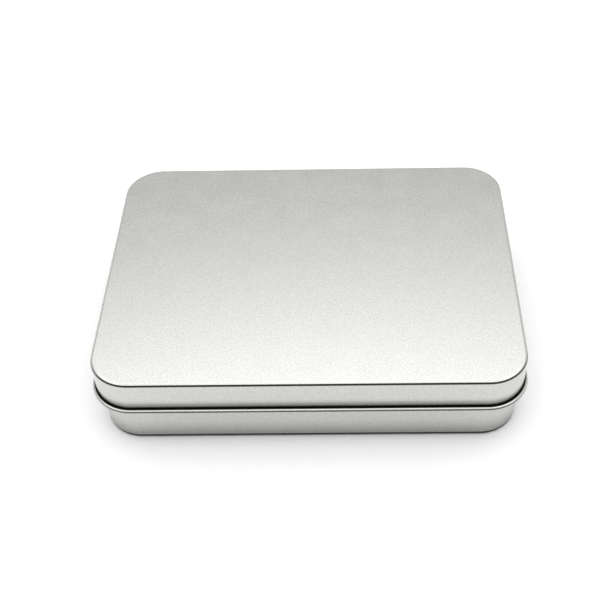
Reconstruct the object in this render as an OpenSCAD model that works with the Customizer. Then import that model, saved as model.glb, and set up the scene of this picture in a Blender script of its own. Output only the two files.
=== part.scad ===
// Card game tin with a hinged lid, closed.
// A drawn tray of thin tinplate, a drawn lid whose skirt ends in an outward rolled
// bead, a steel wire lying in that bead along the back, and two hinge straps welded
// to the back of the tray whose eyes turn on the wire where the bead is notched.
// The origin is on the surface that the tin stands on, under its middle.
// +X is to the right, +Y is towards the hinge, +Z is up.

/* [Overall] */
// Width of the lid across its skirt, left to right
lid_w = 138; // [110:0.5:180]
// Length of the lid across its skirt, front to back
lid_l = 106.5; // [85:0.5:140]
// Height of the closed tin
total_h = 28; // [24:0.5:45]
// Thickness of the tinplate
sheet_t = 0.23; // [0.18:0.01:0.30]

/* [Lid] */
// Outside corner radius of the lid, seen from above
lid_corner_r = 13; // [8:0.5:20]
// Outside radius of the edge between the lid's top and its skirt
lid_edge_r = 0.9; // [0.5:0.05:2]
// From the lid's top down to the middle of its bead
lid_drop = 11.85; // [9:0.05:14]
// Outside diameter of the rolled bead
bead_d = 1.3; // [1.2:0.05:1.8]
// Flat stretch in the underside of the bead
bead_flat = 0.08; // [0.05:0.01:0.4]
// How far round the bead is rolled over its top, in degrees
bead_turn = 95; // [64:1:120]
// How much tighter the bead turns its corners than a roll that follows the skirt
bead_corner_ease = 0; // [0:0.1:3]

/* [Tray] */
// Room between the tray's wall and the inside of the lid's skirt
lid_gap = 1.4; // [0.8:0.01:1.8]
// Room between the tray's rim and the underside of the closed lid
seat_gap = 0.1; // [0.05:0.05:0.5]
// How much rounder the tray's corners are than corners that follow the lid
tray_corner_ease = 1.15; // [0:0.05:2]
// Outside radius of the tray's bottom edge
tray_edge_r = 1.2; // [0.6:0.1:2.5]
// Outside diameter of the roll along the tray's rim
rim_d = 1.2; // [0.9:0.05:1.8]
// Where the rim's roll stops short of the wall, in degrees past its lowest point
rim_turn = 20; // [0:1:35]

/* [Hinge] */
// Diameter of the hinge wire
wire_d = 0.8; // [0.6:0.01:0.82]
// How far the wire's ends stay inside the straight back of the bead
wire_end_gap = 1; // [0.5:0.1:10]
// Room round the wire in a strap's eye
eye_fit = 0.03; // [0.02:0.01:0.08]
// Thickness of a hinge strap
strap_t = 0.3; // [0.2:0.01:0.4]
// Width of a hinge strap
strap_w = 9; // [6:0.5:14]
// From the start of a back corner's curve to the middle of the strap next to it
strap_end = 18; // [8:0.5:35]
// Length of the upright below a strap's eye
strap_arm = 0.75; // [0.4:0.05:1.5]
// Slope of the step between a strap's upright and its foot, in degrees
strap_slope = 45; // [35:1:60]
// Radius of the bends at that step, to the middle of the strap
strap_bend_r = 0.3; // [0.25:0.01:0.4]
// Height of the foot that lies on the tray's wall
strap_foot = 7; // [4:0.1:8]
// Corner radius of the foot
strap_foot_r = 1.5; // [0.3:0.1:2.5]
// Room on each side of a strap in its notch
notch_side = 0.35; // [0.3:0.05:1]
// Room above a strap's eye in its notch
notch_top = 0.4; // [0.3:0.05:1]
// Diameter of a weld dimple in a strap's foot
weld_d = 1.6; // [1:0.1:2.4]
// Depth of a weld dimple
weld_depth = 0.1; // [0.05:0.01:0.14]
// From the middle of a strap to each of its two welds
weld_x = 2.4; // [1.4:0.1:3]

/* [Hidden] */
$fn = 96;

tinplate = [0.80, 0.80, 0.79];
strap_tinplate = [0.74, 0.74, 0.73];
wire_steel = [0.62, 0.62, 0.62];

// How far cutting shapes run past what they cut
past = 1;
// How far neighbouring stretches of a bent strip run into each other
lap = 0.02;
// Where the wedge that opens the bead's roll ends, in a quarter that is cut away anyway
wedge_end = 200;

// The bead: its two radii and the height of its middle, which is the hinge's height
bead_ro = bead_d / 2;
bead_ri = bead_ro - sheet_t;
axis_z = total_h - lid_drop;

// The roll's own path runs round the lid, outside its skirt
roll_out = bead_ri + bead_flat;
roll_w = lid_w + 2 * roll_out;
roll_l = lid_l + 2 * roll_out;
roll_corner_r = lid_corner_r + roll_out - bead_corner_ease;

// The tray follows the lid, drawn in by the lid's own sheet and the room between them
inset = sheet_t + lid_gap;
tray_w = lid_w - 2 * inset;
tray_l = lid_l - 2 * inset;
tray_corner_r = lid_corner_r - inset + tray_corner_ease;
tray_h = total_h - sheet_t - seat_gap;
rim_ro = rim_d / 2;
rim_ri = rim_ro - sheet_t;

// The wire lies midway between the skirt and the outside of the roll
axis_y = lid_l / 2 + (roll_out + bead_ri) / 2;
wire_r = wire_d / 2;
wire_l = lid_w - 2 * lid_corner_r - 2 * wire_end_gap;

// A strap: its place, its eye, and the step that takes it in to the tray's wall
strap_x = lid_w / 2 - lid_corner_r - strap_end;
eye_ri = wire_r + eye_fit;
eye_ro = eye_ri + strap_t;
eye_rm = (eye_ri + eye_ro) / 2;
wall_y = tray_l / 2;
foot_y = wall_y + strap_t / 2;
arm_y = axis_y - eye_rm;
step_in = arm_y - foot_y;
bend_in = 2 * strap_bend_r * (1 - cos(strap_slope));
slope_l = (step_in - bend_in) / sin(strap_slope);
step_down = 2 * strap_bend_r * sin(strap_slope) + slope_l * cos(strap_slope);
// The eye's free end stops short of the upright by this angle
eye_open = 48;

// A weld dimple is a shallow cap of a large ball
weld_ball_r = (weld_d * weld_d / 4 + weld_depth * weld_depth) / (2 * weld_depth);

// A rectangle with round corners, flat on the ground
module round_rect(w, l, r) {
    square([w - 2 * r, l], center = true);
    square([w, l - 2 * r], center = true);
    for (sx = [-1, 1], sy = [-1, 1])
        translate([sx * (w / 2 - r), sy * (l / 2 - r)]) circle(r = r);
}

// A flat sheet with round corners
module panel(w, l, r, t) {
    linear_extrude(height = t) round_rect(w, l, r);
}

// Carries a section round a rectangle with round corners. In the section x points
// outwards from the rectangle's edge and y points up.
module around(w, l, r) {
    for (k = [0 : 3]) {
        sx = (k == 0 || k == 3) ? 1 : -1;
        sy = (k < 2) ? 1 : -1;
        across = (k % 2 == 0) ? w : l;
        along = (k % 2 == 0) ? l : w;
        translate([sx * (w / 2 - r), sy * (l / 2 - r), 0])
            rotate([0, 0, 90 * k])
                rotate_extrude(angle = 90) translate([r, 0]) children();
        rotate([0, 0, 90 * k]) translate([across / 2, 0, 0])
            rotate([90, 0, 0])
                linear_extrude(height = along - 2 * r, center = true) children();
    }
}

// A ring section
module ring(ro, ri) {
    difference() {
        circle(r = ro);
        circle(r = ri);
    }
}

// One quarter of a ring, in the quadrant that qx and qy name by their signs
module quarter_ring(ro, ri, qx, qy) {
    intersection() {
        ring(ro, ri);
        translate([qx > 0 ? 0 : -ro, qy > 0 ? 0 : -ro]) square(ro);
    }
}

// A ring from which the stretch between two angles, under 180 degrees apart, is left out
module open_ring(ro, ri, from, to) {
    far = 2 * ro;
    mid = (from + to) / 2;
    difference() {
        ring(ro, ri);
        polygon([
            [0, 0],
            far * [cos(from), sin(from)],
            2 * far * [cos(mid), sin(mid)],
            far * [cos(to), sin(to)]
        ]);
    }
}

// The tray: floor, bottom edge, wall and a rim rolled inwards, which leaves the lid's
// front skirt room to swing past it
module tray() {
    roll_z = tray_h - rim_ro;
    color(tinplate) {
        panel(tray_w - 2 * tray_edge_r, tray_l - 2 * tray_edge_r,
            tray_corner_r - tray_edge_r, sheet_t);
        around(tray_w, tray_l, tray_corner_r) {
            translate([-tray_edge_r, tray_edge_r])
                quarter_ring(tray_edge_r, tray_edge_r - sheet_t, 1, -1);
            translate([-sheet_t, tray_edge_r])
                square([sheet_t, roll_z - tray_edge_r]);
            translate([-rim_ro, roll_z])
                open_ring(rim_ro, rim_ri, 270 + rim_turn, 360);
        }
    }
}

// The skirt's two notches for the straps, cut through the bead and the skirt above it.
// They start halfway into the room behind the skirt.
module notches() {
    cut_w = strap_w + 2 * notch_side;
    cut_top = eye_ro + notch_top;
    cut_start = sheet_t + lid_gap / 2;
    for (side = [-1, 1])
        translate([side * strap_x - cut_w / 2, lid_l / 2 - cut_start,
            axis_z - bead_ro - past])
            cube([cut_w, cut_start + bead_d + past, cut_top + bead_ro + past]);
}

// The lid: top, rounded edge, skirt, and the bead that its lower edge is rolled into
module lid() {
    color(tinplate)
    difference() {
        union() {
            translate([0, 0, total_h - sheet_t])
                panel(lid_w - 2 * lid_edge_r, lid_l - 2 * lid_edge_r,
                    lid_corner_r - lid_edge_r, sheet_t);
            translate([0, 0, axis_z]) around(lid_w, lid_l, lid_corner_r) {
                translate([-lid_edge_r, lid_drop - lid_edge_r])
                    quarter_ring(lid_edge_r, lid_edge_r - sheet_t, 1, 1);
                translate([-sheet_t, 0]) square([sheet_t, lid_drop - lid_edge_r]);
                translate([bead_ri, 0]) quarter_ring(bead_ro, bead_ri, -1, -1);
            }
            translate([0, 0, axis_z - bead_ro]) linear_extrude(height = sheet_t)
                difference() {
                    round_rect(roll_w, roll_l, roll_corner_r);
                    round_rect(lid_w + 2 * bead_ri, lid_l + 2 * bead_ri,
                        lid_corner_r + bead_ri);
                }
            translate([0, 0, axis_z]) around(roll_w, roll_l, roll_corner_r)
                rolled_edge();
        }
        notches();
    }
}

// The bead's outer roll, from its lowest point round the outside and over the top
module rolled_edge() {
    intersection() {
        open_ring(bead_ro, bead_ri, bead_turn, wedge_end);
        union() {
            translate([0, -bead_ro]) square([bead_ro, bead_d]);
            translate([-bead_ro, 0]) square([bead_d, bead_ro]);
        }
    }
}

// The wire that the hinge turns on. It lies in the bead along the back.
module hinge_wire() {
    color(wire_steel)
        translate([0, axis_y, axis_z]) rotate([0, 90, 0])
            cylinder(r = wire_r, h = wire_l, center = true);
}

// One bend of the strap: a slice of a ring, strap_slope degrees wide, from angle 0 up
module bend_slice() {
    bend_ro = strap_bend_r + strap_t / 2;
    intersection() {
        ring(bend_ro, bend_ro - strap_t);
        polygon([
            [0, 0],
            [2 * bend_ro, 0],
            2 * bend_ro * [cos(strap_slope), sin(strap_slope)]
        ]);
    }
}

// The strap from its eye down to the foot, as a section. x is how far out from the
// tray's wall, y is the height above the hinge's axis.
module strap_section() {
    arm_x = arm_y - wall_y;
    foot_x = foot_y - wall_y;
    translate([axis_y - wall_y, 0]) open_ring(eye_ro, eye_ri, 180, 180 + eye_open);
    translate([arm_x - strap_t / 2, -strap_arm - lap])
        square([strap_t, strap_arm + 2 * lap]);
    translate([arm_x - strap_bend_r, -strap_arm]) mirror([0, 1]) bend_slice();
    translate([foot_x + strap_bend_r, -strap_arm - step_down]) mirror([1, 0])
        bend_slice();
    translate([
        arm_x - strap_bend_r * (1 - cos(strap_slope)),
        -strap_arm - strap_bend_r * sin(strap_slope)
    ])
        rotate(-strap_slope)
            translate([-strap_t / 2, -slope_l - lap])
                square([strap_t, slope_l + 2 * lap]);
}

// The foot's outline, seen from behind, with its two lower corners rounded
module foot_outline() {
    translate([-strap_w / 2, strap_foot_r - strap_foot])
        square([strap_w, strap_foot - strap_foot_r + lap]);
    translate([strap_foot_r - strap_w / 2, -strap_foot])
        square([strap_w - 2 * strap_foot_r, strap_foot]);
    for (side = [-1, 1])
        translate([side * (strap_w / 2 - strap_foot_r), strap_foot_r - strap_foot])
            circle(r = strap_foot_r);
}

// One hinge strap: the eye round the wire, the step, and the foot with its two welds
module hinge_strap(x) {
    foot_top = axis_z - strap_arm - step_down;
    color(strap_tinplate)
    translate([x, wall_y, 0]) {
        translate([-strap_w / 2, 0, axis_z]) rotate([90, 0, 90])
            linear_extrude(height = strap_w) strap_section();
        difference() {
            translate([0, strap_t, foot_top]) rotate([90, 0, 0])
                linear_extrude(height = strap_t) foot_outline();
            for (side = [-1, 1])
                translate([side * weld_x, strap_t + weld_ball_r - weld_depth,
                    foot_top - strap_foot / 2])
                    sphere(r = weld_ball_r);
        }
    }
}

module hinge_strap_left() {
    hinge_strap(-strap_x);
}

module hinge_strap_right() {
    hinge_strap(strap_x);
}

tray();
lid();
hinge_wire();
hinge_strap_left();
hinge_strap_right();
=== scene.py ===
# %% [markdown]
# A flat tin for two decks of playing cards, with a lid that hinges at the back.
# The frame is the engineer's model: five pieces at their real size, in metres, on two
# bodies, "tray" and "lid". This lesson keeps every size and gives the pieces the clean
# meshes and the satin metal that a close photograph needs.

# %% Load the frame
import math

import bmesh
import bpy
from mathutils import Matrix, Vector


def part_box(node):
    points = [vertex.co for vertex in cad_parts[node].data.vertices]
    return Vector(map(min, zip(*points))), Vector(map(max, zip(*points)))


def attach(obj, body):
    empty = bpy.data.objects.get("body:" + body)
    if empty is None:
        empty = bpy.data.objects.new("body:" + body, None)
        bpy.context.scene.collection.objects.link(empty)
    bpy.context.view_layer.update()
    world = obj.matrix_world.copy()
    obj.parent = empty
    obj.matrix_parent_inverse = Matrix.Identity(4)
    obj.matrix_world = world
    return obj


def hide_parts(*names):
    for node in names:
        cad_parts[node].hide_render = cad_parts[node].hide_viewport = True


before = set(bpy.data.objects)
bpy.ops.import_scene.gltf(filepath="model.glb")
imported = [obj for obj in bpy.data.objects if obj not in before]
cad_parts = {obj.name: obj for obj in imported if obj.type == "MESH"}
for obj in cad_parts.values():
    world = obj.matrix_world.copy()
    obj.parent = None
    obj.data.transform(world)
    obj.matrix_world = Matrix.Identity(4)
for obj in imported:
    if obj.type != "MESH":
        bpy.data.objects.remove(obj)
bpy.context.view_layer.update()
MM = 0.001
TINY = 0.001 * MM
print("pieces in the frame:", sorted(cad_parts))

# %% [markdown]
# Pressed tinware has few sizes: the sheet's thickness, the radius of each fold and the
# diameter of each roll. The overall sizes are read from the frame, so that the new meshes
# stay inside it, and only the small radii are named here, in millimetres.

# %% Measure the lid
SHEET = 0.23 * MM
LID_EDGE_R = 0.9 * MM
LID_CORNER_R = 13.0 * MM
BEAD_R = 0.65 * MM
BEAD_INNER_R = BEAD_R - SHEET
BEAD_FLAT = 0.08 * MM
BEAD_TURN = math.radians(95)

wire_low, wire_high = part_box("hinge_wire")
hinge_y = (wire_low.y + wire_high.y) / 2
hinge_z = (wire_low.z + wire_high.z) / 2
lid_low, lid_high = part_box("lid")
roll_out = BEAD_INNER_R + BEAD_FLAT
lid_half_w = lid_high.x - roll_out - BEAD_R
lid_half_l = -lid_low.y - roll_out - BEAD_R
lid_top = lid_high.z
print("lid", round(2 * lid_half_w / MM, 2), "x", round(2 * lid_half_l / MM, 2), "mm across its skirt")

# %% [markdown]
# The tray is a little smaller all round, with a softer fold at the bottom and a rim that
# is rolled inwards.

# %% Measure the tray
TRAY_CORNER_R = 12.52 * MM
TRAY_EDGE_R = 1.2 * MM
RIM_R = 0.6 * MM
RIM_TURN = math.radians(290)

tray_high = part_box("tray")[1]
tray_half_w = tray_high.x
tray_half_l = tray_high.y
tray_top = tray_high.z
print("tray", round(2 * tray_half_w / MM, 2), "x", round(2 * tray_half_l / MM, 2), "mm")

# %% [markdown]
# A drawn and rolled tin is one section carried round a rectangle with round corners. It
# could be built by bevelling a block, but then a roll that turns back over itself has to
# be cut by hand. Here spin turns the section through each corner and extrude carries it
# along each side, so every fold keeps its true radius and the shine runs round unbroken.
# A section is a string of points, and its folds and rolls are arcs.

# %% Draw a section


def arc(centre, radius, start, end, steps):
    """Points of an arc in a section, as (how far out, how high)."""
    turn = (end - start) / steps
    angles = [start + turn * i for i in range(steps + 1)]
    return [(centre[0] + radius * math.cos(a), centre[1] + radius * math.sin(a)) for a in angles]


def chain_of(bm, points):
    """A string of vertices joined by edges."""
    verts = [bm.verts.new(p) for p in points]
    return verts, [bm.edges.new(pair) for pair in zip(verts, verts[1:])]


def verts_and_edges(geom):
    """Sorts what an operator returned into its vertices and the edges among them."""
    verts = [e for e in geom if isinstance(e, bmesh.types.BMVert)]
    known = set(verts)
    edges = [e for e in geom if isinstance(e, bmesh.types.BMEdge) and known.issuperset(e.verts)]
    return verts, edges


# %% [markdown]
# The sweep goes round the four corners in turn, and after each corner along the side that
# follows it. A flat face that meets a fold would take some of the fold's slant in smooth
# shading. So each side starts and ends with a short step, which holds the shading to the
# fold, and each section has a short straight run, HOLD, beside its arcs for the same
# reason.

# %% Carry a section round the tin
HOLD = 0.15 * MM
CORNER_STEPS = 32
CORNERS = ((1, 1), (-1, 1), (-1, -1), (1, -1))
SIDES = ((-1, 0), (0, -1), (1, 0), (0, 1))
SIDE_STOPS = (0.0, 0.01, 0.25, 0.5, 0.75, 0.99, 1.0)
WHOLE_WAY = (0.0, 1.0)


def pull(bm, edges, way, stops):
    """Extrudes a string of edges along a straight line. Stops are shares of the way."""
    verts = []
    for here, there in zip(stops, stops[1:]):
        verts, edges = verts_and_edges(bmesh.ops.extrude_edge_only(bm, edges=edges)["geom"])
        bmesh.ops.translate(bm, verts=verts, vec=way * (there - here))
    return verts, edges


def carry_round(bm, section, half_w, half_l, corner_r):
    """Sweeps a section once round a rectangle with round corners, and closes it."""
    verts, edges = chain_of(bm, [(half_w + out, half_l - corner_r, up) for out, up in section])
    straight = (2 * (half_w - corner_r), 2 * (half_l - corner_r))
    for corner, side in zip(CORNERS, SIDES):
        centre = (corner[0] * (half_w - corner_r), corner[1] * (half_l - corner_r), 0)
        spun = bmesh.ops.spin(
            bm, geom=verts + edges, cent=centre, axis=(0, 0, 1), angle=math.pi / 2,
            steps=CORNER_STEPS, use_merge=False, use_duplicate=False,
        )
        verts, edges = verts_and_edges(spun["geom_last"])
        way = Vector((side[0] * straight[0], side[1] * straight[1], 0))
        verts, edges = pull(bm, edges, way, SIDE_STOPS)
    bmesh.ops.remove_doubles(bm, verts=bm.verts, dist=TINY)


# %% [markdown]
# Sections that are swept apart are joined at their open loops. A loop is found by where
# it lies, which stays true when a size changes, while an index would not.

# %% Find an open loop and close it


def open_loops(bm):
    """The mesh's open boundaries, each as a list of edges."""
    left = {e for e in bm.edges if e.is_boundary}
    loops = []
    while left:
        start = left.pop()
        loop, ends = [start], list(start.verts)
        while ends:
            tip = ends.pop()
            found = [e for e in tip.link_edges if e in left]
            left.difference_update(found)
            loop += found
            ends += [e.other_vert(tip) for e in found]
        loops.append(loop)
    return loops


def loop_at(bm, half_width, height):
    """The open loop that is closest to this half width and height."""
    def miss(loop):
        points = [v.co for e in loop for v in e.verts]
        return abs(max(p.x for p in points) - half_width) + abs(points[0].z - height)
    return min(open_loops(bm), key=miss)


def close_flat(bm, loop, margin):
    """Fills a flat loop with one face, and draws a smaller outline inside it."""
    face = bmesh.ops.contextual_create(bm, geom=loop)["faces"]
    bmesh.ops.inset_region(bm, faces=face, thickness=margin, use_even_offset=True)


# %% [markdown]
# A finished bmesh becomes a piece that rides on a body of the frame and stands for its
# CAD node. Its folds are shaded smooth, while raw edges and square corners are marked
# sharp. Sheet metal gets its thickness last, from the Solidify modifier. That adds a
# second skin, inwards or to both sides, and keeps a cut edge square. The skin that was
# drawn takes the first finish in the list and the added skin takes the next one, so the
# inside of a shell can differ from its outside.

# %% Finish a piece
SHARP_ANGLE = math.radians(38)
INWARDS = -1.0
BOTH_WAYS = 0.0


def object_of(bm, name, materials):
    """Turns a bmesh into an object with its finishes, and puts it in the scene."""
    mesh = bpy.data.meshes.new(name)
    bm.to_mesh(mesh)
    bm.free()
    for material in materials:
        mesh.materials.append(material)
    thing = bpy.data.objects.new(name, mesh)
    bpy.context.scene.collection.objects.link(thing)
    return thing


def finish_piece(bm, name, body, node, materials, thickness=0.0, growth=INWARDS):
    """Makes a piece of the bmesh, gives the sheet its thickness and ties it to the frame."""
    bmesh.ops.recalc_face_normals(bm, faces=bm.faces)
    for face in bm.faces:
        face.smooth = True
    for edge in bm.edges:
        edge.smooth = not edge.is_boundary and edge.calc_face_angle(0) < SHARP_ANGLE
    piece = object_of(bm, name, materials)
    if thickness:
        wall = piece.modifiers.new("wall", "SOLIDIFY")
        wall.thickness = thickness
        wall.offset = growth
        wall.use_even_offset = True
        wall.material_offset = min(1, len(materials) - 1)
    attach(piece, body)
    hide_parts(node)
    print(name, "has", len(piece.data.polygons), "faces")


# %% [markdown]
# Materials are small node trees. One function turns a colour picker's sRGB hex value into
# the linear colour that a shader takes, and one function adds a node with its settings
# and links, so each finish below reads as a list of what it is made of. A noise texture
# mostly gives values from 0.3 to 0.7, which NOISE_SPAN spreads over the whole of a range.

# %% A way to build materials
NOISE_SPAN = {"From Min": 0.3, "From Max": 0.7}


def linear(hex_colour):
    """An sRGB hex colour as a linear colour, by the formula that defines sRGB."""
    parts = [int(hex_colour[i:i + 2], 16) / 255 for i in (1, 3, 5)]
    return tuple(c / 12.92 if c <= 0.04045 else ((c + 0.055) / 1.055) ** 2.4 for c in parts) + (1.0,)


def add(tree, kind, settings=None, links=None):
    """Adds a node. A key names a property or an input, or is an input's number."""
    node = tree.nodes.new(kind)
    for key, value in (settings or {}).items():
        if isinstance(key, int) or key in node.inputs:
            node.inputs[key].default_value = value
        else:
            setattr(node, key, value)
    for key, source in (links or {}).items():
        tree.links.new(source, node.inputs[key])
    return node


def new_tree(holder):
    """An empty node tree for a material or a world."""
    holder.use_nodes = True
    holder.node_tree.nodes.clear()
    return holder.node_tree


def profile(tree, value, low, high, stops):
    """A grey that follows a value from low to high. A stop is (value, grey), in order."""
    share = add(tree, "ShaderNodeMapRange", {"From Min": low, "From Max": high}, {"Value": value})
    ramp = add(tree, "ShaderNodeValToRGB", links={"Fac": share.outputs["Result"]})
    bands = ramp.color_ramp.elements
    while len(bands) < len(stops):
        bands.new(1.0)
    for band, (where, grey) in zip(bands, stops):
        band.position = (where - low) / (high - low)
        band.color = (grey, grey, grey, 1)
    return ramp.outputs["Color"]


# %% [markdown]
# Tinplate is thin steel with a bright coat of tin. This one has a stone finish: the mill
# rolls are ground with a stone, so the sheet is satin with a fine sandy grain. To the eye
# that is a soft mirror: broad reflections stay readable and small ones blur. The real
# grain is about 0.1 mm, too fine for a picture of the whole tin, so it is drawn at 0.45 mm.
# On the lid's fold and round the outside of the roll a dark line is painted shade, above
# the roll a dark band that fades upwards is painted shade, and the tray's bottom fold and
# the wall above it are painted darker towards the bottom.

# %% Tinplate, stone finish
GRAIN = 0.45 * MM
GRAIN_RELIEF = 0.02 * MM
MOTTLE = 9.0 * MM
SATIN = {"To Min": 0.20, "To Max": 0.24}
TIN = "#D1D2CE"
TIN_SHADE = "#BDBEBA"
PAINTED_SHADE_DARK = "#20211F"


def tinplate_stone_finish(name, painted_shade_stops):
    """Painted shade is a list of (height, amount) stops, from the ground up to the lid's top."""
    tree = new_tree(bpy.data.materials.new(name))
    place = add(tree, "ShaderNodeTexCoord").outputs["Object"]
    grain = add(tree, "ShaderNodeTexNoise", {"Scale": 1 / GRAIN, "Detail": 2.0, "Roughness": 0.65},
                {"Vector": place})
    mottle = add(tree, "ShaderNodeTexNoise", {"Scale": 1 / MOTTLE, "Detail": 3.0}, {"Vector": place})
    sand = add(tree, "ShaderNodeMapRange", NOISE_SPAN, {"Value": grain.outputs["Fac"]})
    tin = add(tree, "ShaderNodeMix", {"data_type": "RGBA", 6: linear(TIN_SHADE), 7: linear(TIN)},
              {0: sand.outputs["Result"]})
    up = add(tree, "ShaderNodeSeparateXYZ", links={"Vector": place}).outputs["Z"]
    painted_shade_share = profile(tree, up, 0.0, lid_top, painted_shade_stops)
    # Painted shade: the tin colour is mixed towards a near black where the height profile says.
    colour = add(tree, "ShaderNodeMix", {"data_type": "RGBA", 7: linear(PAINTED_SHADE_DARK)},
                 {0: painted_shade_share, 6: tin.outputs[2]})
    shine = add(tree, "ShaderNodeMapRange", NOISE_SPAN | SATIN, {"Value": mottle.outputs["Fac"]})
    relief = add(tree, "ShaderNodeBump", {"Strength": 0.6, "Distance": GRAIN_RELIEF},
                 {"Height": grain.outputs["Fac"]})
    metal = add(tree, "ShaderNodeBsdfPrincipled", {"Metallic": 1.0}, {
        "Base Color": colour.outputs[2],
        "Roughness": shine.outputs["Result"],
        "Normal": relief.outputs["Normal"],
    })
    add(tree, "ShaderNodeOutputMaterial", links={"Surface": metal.outputs["BSDF"]})
    return bpy.data.materials[name]


# %% [markdown]
# Painted shade is placed by height, as stops of (millimetres, amount) that count from a
# height on the tin. From the hinge's height they mark the outside of the roll and the
# groove above it, from the lid's top its fold, and from the ground the fold that the tray
# stands on and the lower wall. The insides and the straps have none.

# %% Place the painted shade
# Painted shade: a dark line round the outside of the roll, below its highlight, stands in for shade and a
# dark reflection.
ROLL_PAINTED_LINE = [(-0.26, 0.0), (-0.18, 0.94), (0.24, 0.94), (0.31, 0.0)]
# Painted shade: a dark band on the skirt above the roll, fading upwards, stands in for the shade of the
# groove and its reflection.
GROOVE_PAINTED_SHADE = [
    (0.652, 0.0), (0.665, 1.0), (1.15, 0.8), (2.15, 0.58),
    (2.65, 0.48), (3.15, 0.28), (3.65, 0.12), (4.6, 0.0),
]
# Painted reflection: a dark line along the lid's fold stands in for the dim room that the fold mirrors.
FOLD_PAINTED_LINE = [(-0.96, 0.0), (-0.88, 0.96), (-0.33, 0.96), (-0.26, 0.0)]
# Painted shade: the tray's bottom fold is dark and its wall darker towards the bottom, standing in for the
# contact shadow and its reflection.
FOOT_PAINTED_SHADE = [
    (0.0, 0.96), (1.55, 0.96), (1.85, 0.40), (2.6, 0.38),
    (3.3, 0.32), (4.3, 0.24), (6.0, 0.12), (8.5, 0.0),
]


def painted_shade_at(height, stops):
    """Shifts a list of (millimetres, amount) to a height in metres."""
    return [(height + up * MM, amount) for up, amount in stops]


# The lid and the tray get painted shade by height, and the insides and the straps none.
lid_painted_shade = painted_shade_at(hinge_z, ROLL_PAINTED_LINE + GROOVE_PAINTED_SHADE) + painted_shade_at(lid_top, FOLD_PAINTED_LINE)
tray_painted_shade = painted_shade_at(0, FOOT_PAINTED_SHADE)
no_painted_shade = [(0.0, 0.0), (lid_top, 0.0)]
lid_metal = tinplate_stone_finish("tinplate_stone_finish_lid", lid_painted_shade)
tray_metal = tinplate_stone_finish("tinplate_stone_finish_tray", tray_painted_shade)
inner_metal = tinplate_stone_finish("tinplate_stone_finish_inside", no_painted_shade)
strap_metal = tinplate_stone_finish("tinplate_stone_finish_strap", no_painted_shade)
print("finishes:", [m.name for m in (lid_metal, tray_metal, inner_metal, strap_metal)])

# %% [markdown]
# The inside of the open roll is painted shade: a matt, nearly black colour with paler
# specks, so that the groove above the roll reads as a thin dark line.

# %% Painted shade in the roll
ROLL_SHADE_COLOUR = "#1B1A18"
SHADE_SPECK_COLOUR = "#33312D"
SHADE_SPECK_SIZE = 0.6 * MM
SHADE_SPECK_RELIEF = 0.03 * MM


def painted_shade_matt(name):
    """A dark matt painted shade that is paler in noise specks."""
    tree = new_tree(bpy.data.materials.new(name))
    place = add(tree, "ShaderNodeTexCoord").outputs["Object"]
    specks = add(tree, "ShaderNodeTexNoise", {"Scale": 1 / SHADE_SPECK_SIZE, "Detail": 3.0}, {"Vector": place})
    shade_tone = add(tree, "ShaderNodeMix", {"data_type": "RGBA", 6: linear(ROLL_SHADE_COLOUR), 7: linear(SHADE_SPECK_COLOUR)},
               {0: specks.outputs["Fac"]})
    relief = add(tree, "ShaderNodeBump", {"Strength": 0.3, "Distance": SHADE_SPECK_RELIEF},
                 {"Height": specks.outputs["Fac"]})
    coat = add(tree, "ShaderNodeBsdfPrincipled", {"Roughness": 0.6}, {
        "Base Color": shade_tone.outputs[2],
        "Normal": relief.outputs["Normal"],
    })
    add(tree, "ShaderNodeOutputMaterial", links={"Surface": coat.outputs["BSDF"]})
    return bpy.data.materials[name]


# The inside of the roll takes this painted shade.
roll_painted_shade = painted_shade_matt("tinplate_oily_dust_in_the_roll")
print("finish:", roll_painted_shade.name)

# %% [markdown]
# The hinge wire is low carbon steel that was drawn through a die. Drawing leaves it
# bright and a little darker than tin, with fine lines along its length that stretch each
# highlight across them. The lines are drawn 0.12 mm apart so that they show close up.

# %% Steel wire, bright drawn
DRAW_LINE = 0.12 * MM
DRAW_RUN = 30.0 * MM
DRAW_RELIEF = 0.01 * MM
DRAWN_SHINE = {"To Min": 0.22, "To Max": 0.34}
WIRE_STEEL = "#A6A7A8"


def steel_wire_bright_drawn(name):
    """Bright steel with fine lines along X, which is the way that the wire lies."""
    tree = new_tree(bpy.data.materials.new(name))
    place = add(tree, "ShaderNodeTexCoord").outputs["Object"]
    along = (1 / DRAW_RUN, 1 / DRAW_LINE, 1 / DRAW_LINE)
    stretch = add(tree, "ShaderNodeMapping", {"Scale": along}, {"Vector": place})
    lines = add(tree, "ShaderNodeTexNoise", {"Scale": 1.0, "Detail": 1.0},
                {"Vector": stretch.outputs["Vector"]})
    relief = add(tree, "ShaderNodeBump", {"Strength": 0.4, "Distance": DRAW_RELIEF},
                 {"Height": lines.outputs["Fac"]})
    shine = add(tree, "ShaderNodeMapRange", NOISE_SPAN | DRAWN_SHINE, {"Value": lines.outputs["Fac"]})
    metal = add(tree, "ShaderNodeBsdfPrincipled", {"Metallic": 1.0, "Base Color": linear(WIRE_STEEL)}, {
        "Roughness": shine.outputs["Result"],
        "Normal": relief.outputs["Normal"],
    })
    add(tree, "ShaderNodeOutputMaterial", links={"Surface": metal.outputs["BSDF"]})
    return bpy.data.materials[name]


wire_metal = steel_wire_bright_drawn("steel_wire_bright_drawn")
print("finish:", wire_metal.name)

# %% [markdown]
# The lid. Its section runs from the flat top over the fold and down the skirt, then turns
# outwards into the trough of the rolled bead. The roll is swept on its own, because the
# trough has a small flat in its floor, and the two are bridged there. The flat top is one
# face with a smaller outline inside it, so that the folds don't pull at its shading.

# %% Press the lid
FOLD_STEPS = 14
ROLL_STEPS = 24
TOP_MARGIN = 0.6 * MM
FLAT_MARGIN = 4.0 * MM


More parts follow.
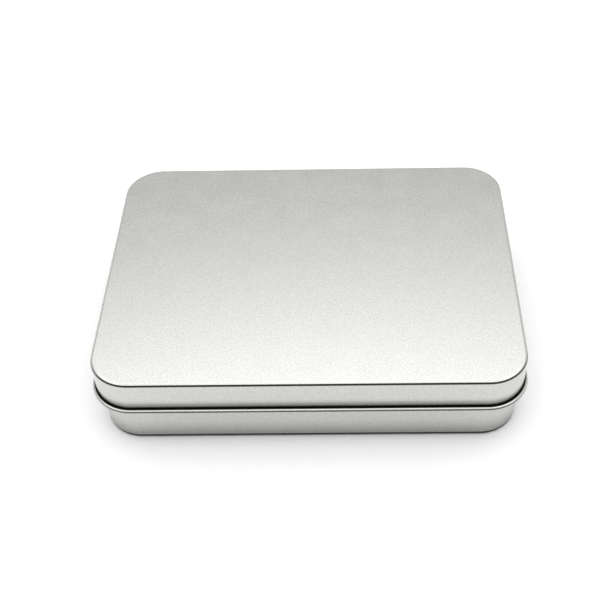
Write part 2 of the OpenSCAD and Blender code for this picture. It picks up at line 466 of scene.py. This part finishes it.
def lid_sheet():
    """The lid's outer skin: top, fold and skirt, and on into the inside of the roll."""
    bm = bmesh.new()
    skirt = [(-LID_EDGE_R - TOP_MARGIN, lid_top), (-LID_EDGE_R - HOLD, lid_top)]
    skirt += arc((-LID_EDGE_R, lid_top - LID_EDGE_R), LID_EDGE_R, math.pi / 2, 0, FOLD_STEPS)
    skirt += [(0, lid_top - LID_EDGE_R - HOLD), (0, hinge_z + HOLD)]
    skirt += arc((BEAD_INNER_R, hinge_z), BEAD_INNER_R, math.pi, 1.5 * math.pi, FOLD_STEPS)
    carry_round(bm, skirt, lid_half_w, lid_half_l, LID_CORNER_R)
    roll = arc((0, hinge_z), BEAD_INNER_R, -math.pi / 2, BEAD_TURN, ROLL_STEPS)
    carry_round(bm, roll, lid_half_w + roll_out, lid_half_l + roll_out, LID_CORNER_R + roll_out)
    trough = hinge_z - BEAD_INNER_R
    inner = loop_at(bm, lid_half_w + BEAD_INNER_R, trough)
    outer = loop_at(bm, lid_half_w + roll_out, trough)
    bmesh.ops.bridge_loops(bm, edges=inner + outer)
    close_flat(bm, loop_at(bm, lid_half_w - LID_EDGE_R - TOP_MARGIN, lid_top), FLAT_MARGIN)
    return bm


lid_bm = lid_sheet()
print("lid sheet:", len(lid_bm.faces), "faces")

# %% [markdown]
# At the back the roll is cut away in two notches, where the hinge straps reach round the
# wire. A boolean could cut them, but it leaves ragged faces on thin sheet, so the sheet is
# sliced along the sides and top of each notch and the faces inside are deleted. A slice
# reaches a few strap widths to each side, which leaves the other notch's faces alone.

# %% Cut the notches
NOTCH_SIDE = 0.35 * MM
NOTCH_TOP = 0.4 * MM
STRAP_WIDTHS = 3
SLICE_SNAP = 0.1 * TINY

strap_low, strap_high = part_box("hinge_strap_right")
strap_x = (strap_low.x + strap_high.x) / 2
strap_w = strap_high.x - strap_low.x
eye_r = strap_high.z - hinge_z
slice_reach = STRAP_WIDTHS * strap_w
notch_half = strap_w / 2 + NOTCH_SIDE
notch_top = hinge_z + eye_r + NOTCH_TOP


def skirt_faces(bm, middle, reach):
    """Faces of the back skirt and its roll that are within reach of a notch's middle."""
    def near(face):
        spot = face.calc_center_median()
        at_back = spot.y > lid_half_l - SHEET and spot.z < lid_top - LID_EDGE_R
        return at_back and abs(spot.x - middle) < reach
    return [f for f in bm.faces if near(f)]


def cut_notch(bm, middle):
    """Slices the skirt at a notch's two sides and top, and takes out what is between."""
    cuts = [((middle + side * notch_half, 0, 0), (1, 0, 0)) for side in (-1, 1)]
    cuts.append(((0, 0, notch_top), (0, 0, 1)))
    for point, across in cuts:
        faces = skirt_faces(bm, middle, slice_reach)
        geom = faces + list({e for f in faces for e in f.edges}) + list({v for f in faces for v in f.verts})
        bmesh.ops.bisect_plane(bm, geom=geom, plane_co=point, plane_no=across, dist=SLICE_SNAP)
    gone = [f for f in skirt_faces(bm, middle, notch_half) if f.calc_center_median().z < notch_top]
    bmesh.ops.delete(bm, geom=gone, context="FACES")
    print("notch at", round(middle / MM, 1), "mm:", len(gone), "faces cut out")


for side in (-1, 1):
    cut_notch(lid_bm, side * strap_x)

# %% [markdown]
# The skin that was drawn is the outside of the top and the skirt, and it runs on into the
# inside of the roll. So the faces that lie outside the skirt's outline take the roll's
# painted shade, and the others the tinplate with painted shade by height. The added skin
# takes the next finish in the list: that tinplate on the roll's outside, and clean
# tinplate inside the lid.

# %% Finish the lid


def out_of_skirt(point):
    """How far a point lies outside the skirt's outline, seen from above."""
    across = max(abs(point.x) - lid_half_w + LID_CORNER_R, 0)
    along = max(abs(point.y) - lid_half_l + LID_CORNER_R, 0)
    return math.hypot(across, along) - LID_CORNER_R


lid_finishes = [roll_painted_shade, lid_metal, inner_metal]
for face in lid_bm.faces:
    in_the_roll = out_of_skirt(face.calc_center_median()) >= TINY
    face.material_index = lid_finishes.index(roll_painted_shade if in_the_roll else lid_metal)
finish_piece(lid_bm, "lid_shell", "lid", "lid", lid_finishes, SHEET)

# %% [markdown]
# The tray is pressed the same way. Its rim is rolled inwards, so that the lid's skirt
# clears it as it swings, and the roll is nearly a full turn with its raw edge inside.

# %% Press the tray


def tray_sheet():
    """The tray's outer skin: floor, fold and wall, and the roll along its rim."""
    bm = bmesh.new()
    wall = [(-TRAY_EDGE_R - TOP_MARGIN, 0), (-TRAY_EDGE_R - HOLD, 0)]
    wall += arc((-TRAY_EDGE_R, TRAY_EDGE_R), TRAY_EDGE_R, -math.pi / 2, 0, FOLD_STEPS)
    wall += [(0, TRAY_EDGE_R + HOLD), (0, tray_top - RIM_R - HOLD)]
    wall += arc((-RIM_R, tray_top - RIM_R), RIM_R, 0, RIM_TURN, ROLL_STEPS)
    carry_round(bm, wall, tray_half_w, tray_half_l, TRAY_CORNER_R)
    close_flat(bm, loop_at(bm, tray_half_w - TRAY_EDGE_R - TOP_MARGIN, 0), FLAT_MARGIN)
    return bm


tray_finishes = [tray_metal, inner_metal]
finish_piece(tray_sheet(), "tray_shell", "tray", "tray", tray_finishes, SHEET)

# %% [markdown]
# The hinge wire is a straight length of wire that lies in the lid's roll along the back.
# A cylinder is its whole shape, but the shears leave a small burr that is tumbled off, so
# both ends get a narrow bevel, which catches the light like the real cut end.

# %% Cut the wire
WIRE_SEGMENTS = 40
WIRE_BEVEL = 0.06 * MM


def wire_rod():
    """A round rod from one end of the wire to the other, with bevelled ends."""
    bm = bmesh.new()
    radius = (wire_high.z - wire_low.z) / 2
    place = Matrix.Translation((0, hinge_y, hinge_z)) @ Matrix.Rotation(math.pi / 2, 4, "Y")
    bmesh.ops.create_cone(
        bm, cap_ends=True, segments=WIRE_SEGMENTS, radius1=radius, radius2=radius,
        depth=wire_high.x - wire_low.x, matrix=place,
    )
    rims = [e for e in bm.edges if abs(e.verts[0].co.x - e.verts[1].co.x) < TINY]
    bmesh.ops.bevel(bm, geom=rims, offset=WIRE_BEVEL, segments=2, profile=0.5, affect="EDGES", material=-1)
    return bm


finish_piece(wire_rod(), "hinge_rod", "lid", "hinge_wire", [wire_metal])

# %% [markdown]
# Each hinge strap is a strip of tinplate: an eye rolled round the wire, a short upright,
# a step in to the tray's wall, and a foot that is spot welded there. The two bends at the
# step are equal and opposite, so the length of the slope between them follows from how
# far the step goes in.

# %% Measure the straps
STRAP_T = 0.3 * MM
STRAP_ARM = 0.75 * MM
STRAP_SLOPE = math.radians(45)
STRAP_BEND_R = 0.3 * MM

arm_y = hinge_y - eye_r + STRAP_T / 2
foot_y = tray_half_l + STRAP_T / 2
step_in = arm_y - foot_y
slope_in = step_in - 2 * STRAP_BEND_R * (1 - math.cos(STRAP_SLOPE))
step_down = slope_in / math.tan(STRAP_SLOPE) + 2 * STRAP_BEND_R * math.sin(STRAP_SLOPE)
foot_top = hinge_z - STRAP_ARM - step_down
foot_low = strap_low.z
print("strap foot", round((foot_top - foot_low) / MM, 2), "mm high, step", round(step_in / MM, 2), "mm")

# %% [markdown]
# The strip's line is seen from the side and drawn as arcs, then extruded across its width.
# It is the middle of the metal, so its wall grows equally to both sides.

# %% Roll the eye and bend the step
EYE_GAP = math.radians(50)
EYE_STEPS = 36
BEND_STEPS = 8


def strap_strip(x):
    """The strip from the eye's free end to the top of the foot, as a thin sheet."""
    bm = bmesh.new()
    eye = arc((hinge_y, hinge_z), eye_r - STRAP_T / 2, EYE_GAP - math.pi, math.pi, EYE_STEPS)
    out = arc((arm_y - STRAP_BEND_R, hinge_z - STRAP_ARM), STRAP_BEND_R, 0, -STRAP_SLOPE, BEND_STEPS)
    back = arc((foot_y + STRAP_BEND_R, foot_top), STRAP_BEND_R, math.pi - STRAP_SLOPE, math.pi, BEND_STEPS)
    line = eye + out + back + [(foot_y, foot_top - HOLD)]
    edges = chain_of(bm, [(x - strap_w / 2, y, z) for y, z in line])[1]
    pull(bm, edges, Vector((strap_w, 0, 0)), WHOLE_WAY)
    return bm


# %% [markdown]
# The foot starts as one edge pulled down. Its two corners get a vertex bevel, and its face
# is then replaced by a fill that leaves a round hole for each weld. The electrode presses
# a shallow dish there, which is three insets of a round face, each pushed in a little. A
# ring of the dish is (width, depth).

# %% Cut the foot and press its welds
FOOT_R = 1.5 * MM
FOOT_R_STEPS = 8
WELD_R = 0.8 * MM
WELD_X = 2.4 * MM
WELD_STEPS = 32
WELD_RINGS = ((0.12 * MM, 0.04 * MM), (0.18 * MM, 0.035 * MM), (0.25 * MM, 0.025 * MM))


def press_weld(bm, x):
    """A round hole's worth of edges, closed by a shallow dish."""
    middle = Matrix.Translation((x, foot_y, (foot_top + foot_low) / 2))
    place = middle @ Matrix.Rotation(math.pi / 2, 4, "X")
    ring = bmesh.ops.create_circle(bm, segments=WELD_STEPS, radius=WELD_R, matrix=place)["verts"]
    edges = list({e for v in ring for e in v.link_edges})
    face = bmesh.ops.contextual_create(bm, geom=edges)["faces"]
    if face[0].normal.y < 0:
        bmesh.ops.reverse_faces(bm, faces=face)
    for width, depth in WELD_RINGS:
        bmesh.ops.inset_region(bm, faces=face, thickness=width, depth=-depth, use_even_offset=True)
    return edges


def add_foot(bm, x):
    """Pulls the foot down from the strip, rounds its corners and presses two welds."""
    hem = [e for e in bm.edges if all(abs(v.co.z - foot_top + HOLD) < TINY for v in e.verts)]
    corners = pull(bm, hem, Vector((0, 0, foot_low - foot_top + HOLD)), WHOLE_WAY)[0]
    bmesh.ops.bevel(
        bm, geom=corners, offset=FOOT_R, segments=FOOT_R_STEPS, profile=0.5,
        affect="VERTICES", material=-1,
    )
    foot = [f for f in bm.faces if f.calc_center_median().z < foot_top - HOLD]
    rim = list({e for f in foot for e in f.edges})
    bmesh.ops.delete(bm, geom=foot, context="FACES_ONLY")
    for side in (-1, 1):
        rim += press_weld(bm, x + side * WELD_X)
    bmesh.ops.triangle_fill(bm, edges=rim, use_beauty=True, use_dissolve=False)
    bmesh.ops.remove_doubles(bm, verts=bm.verts, dist=TINY)


for side, x in (("left", -strap_x), ("right", strap_x)):
    strap_bm = strap_strip(x)
    add_foot(strap_bm, x)
    finish_piece(
        strap_bm, "strap_" + side, "tray", "hinge_strap_" + side,
        [strap_metal], STRAP_T, BOTH_WAYS,
    )

# %% [markdown]
# The table is a sheet of white paper. It is a plain diffuse white, so it takes the tin's
# soft shadow and the metal mirrors it as a pale grey, just as the photograph shows.

# %% Set the table
TABLE_SIZE = 4000 * MM
TABLE_DROP = 0.02 * MM
PAPER = "#FBFBFB"


def white_paper_matt(name):
    """Paper without any gloss."""
    tree = new_tree(bpy.data.materials.new(name))
    paper = add(tree, "ShaderNodeBsdfDiffuse", {"Color": linear(PAPER)})
    add(tree, "ShaderNodeOutputMaterial", links={"Surface": paper.outputs["BSDF"]})
    return bpy.data.materials[name]


table_bm = bmesh.new()
bmesh.ops.create_grid(table_bm, x_segments=1, y_segments=1, size=TABLE_SIZE / 2)
bmesh.ops.translate(table_bm, vec=(0, 0, -TABLE_DROP), verts=table_bm.verts)
table = object_of(table_bm, "table", [white_paper_matt("white_paper_matt")])
print("table:", round(TABLE_SIZE, 2), "m square")

# %% [markdown]
# Metal shows its surroundings more than its own colour, so the studio is drawn as a sky
# that is lit by height. Each stop is a height on a ball of radius 1 round the tin, and the
# brightness there. Behind and beside the tin a white wall turns grey and then rises to a
# bright ceiling, which the lid mirrors as its gradient from grey at the back to near white
# in front. Straight in front the room is only half as bright, from the table up to a
# little below the camera, and that is what the lid's fold and the roll mirror as thin dark
# lines. It is narrow and not black, so that the tin stays pale when it is seen from behind.

# %% Light the studio
WALL_AND_CEILING = [
    (-1.0, 1.0), (0.30, 1.0), (0.50, 0.60), (0.62, 0.69), (0.70, 1.18), (0.77, 2.0),
    (0.86, 2.4), (0.92, 1.3), (0.97, 1.3), (0.98, 1.9), (1.0, 1.9),
]
DIM_ROOM = [
    (-1.0, 1.0), (0.0, 1.0), (0.08, 0.5), (0.64, 0.5), (0.78, 1.9),
    (0.97, 1.4), (0.98, 1.9), (1.0, 1.9),
]
ROOM_HALF_ANGLE = math.radians(24)
ROOM_FADE = math.radians(6)

world = bpy.data.worlds.new("studio")
bpy.context.scene.world = world
sky = new_tree(world)
sight = add(sky, "ShaderNodeTexCoord").outputs["Generated"]
way = add(sky, "ShaderNodeSeparateXYZ", links={"Vector": sight})
behind = profile(sky, way.outputs["Z"], -1.0, 1.0, WALL_AND_CEILING)
before = profile(sky, way.outputs["Z"], -1.0, 1.0, DIM_ROOM)
front = add(sky, "ShaderNodeMath", {"operation": "MULTIPLY", 1: -1.0}, {0: way.outputs["Y"]})
aside = add(sky, "ShaderNodeMath", {"operation": "ARCTAN2"}, {0: way.outputs["X"], 1: front.outputs[0]})
turned = add(sky, "ShaderNodeMath", {"operation": "ABSOLUTE"}, {0: aside.outputs[0]})
fade = {"From Min": ROOM_HALF_ANGLE + ROOM_FADE, "From Max": ROOM_HALF_ANGLE}
ahead = add(sky, "ShaderNodeMapRange", fade, {"Value": turned.outputs[0]})
room = add(sky, "ShaderNodeMix", {"data_type": "RGBA"}, {0: ahead.outputs["Result"], 6: behind, 7: before})
light = add(sky, "ShaderNodeBackground", {"Strength": 1.0}, {"Color": room.outputs[2]})
add(sky, "ShaderNodeOutputWorld", links={"Surface": light.outputs["Background"]})
print("studio:", len(sky.nodes), "nodes")

# %% [markdown]
# The camera stands in front of the tin and looks down at 45 degrees, a little from the
# right. The lens is a short telephoto, and a small shift puts the tin where it stands in
# the photograph's frame.

# %% Place the camera
CAMERA_PLACE = Vector((13.55, -266.43, 278.36)) * MM
CAMERA_TURN = math.radians(-1.576)
CAMERA_TILT = math.radians(45.088)
CAMERA_ROLL = math.radians(-1.727)
CAMERA_SHIFT = -0.05
LENS = 64.2
SENSOR = 36.0
NEAREST = 10 * MM

camera_data = bpy.data.cameras.new("photo_camera")
camera_data.lens = LENS
camera_data.sensor_width = SENSOR
camera_data.shift_x = CAMERA_SHIFT
camera_data.clip_start = NEAREST
camera = bpy.data.objects.new("photo_camera", camera_data)
bpy.context.scene.collection.objects.link(camera)
look = Matrix.Rotation(-CAMERA_TURN, 4, "Z") @ Matrix.Rotation(math.pi / 2 - CAMERA_TILT, 4, "X")
camera.matrix_world = Matrix.Translation(CAMERA_PLACE) @ look @ Matrix.Rotation(CAMERA_ROLL, 4, "Z")
bpy.context.scene.camera = camera
bpy.context.scene.view_settings.view_transform = "Standard"
print("camera at", [round(v, 3) for v in CAMERA_PLACE])
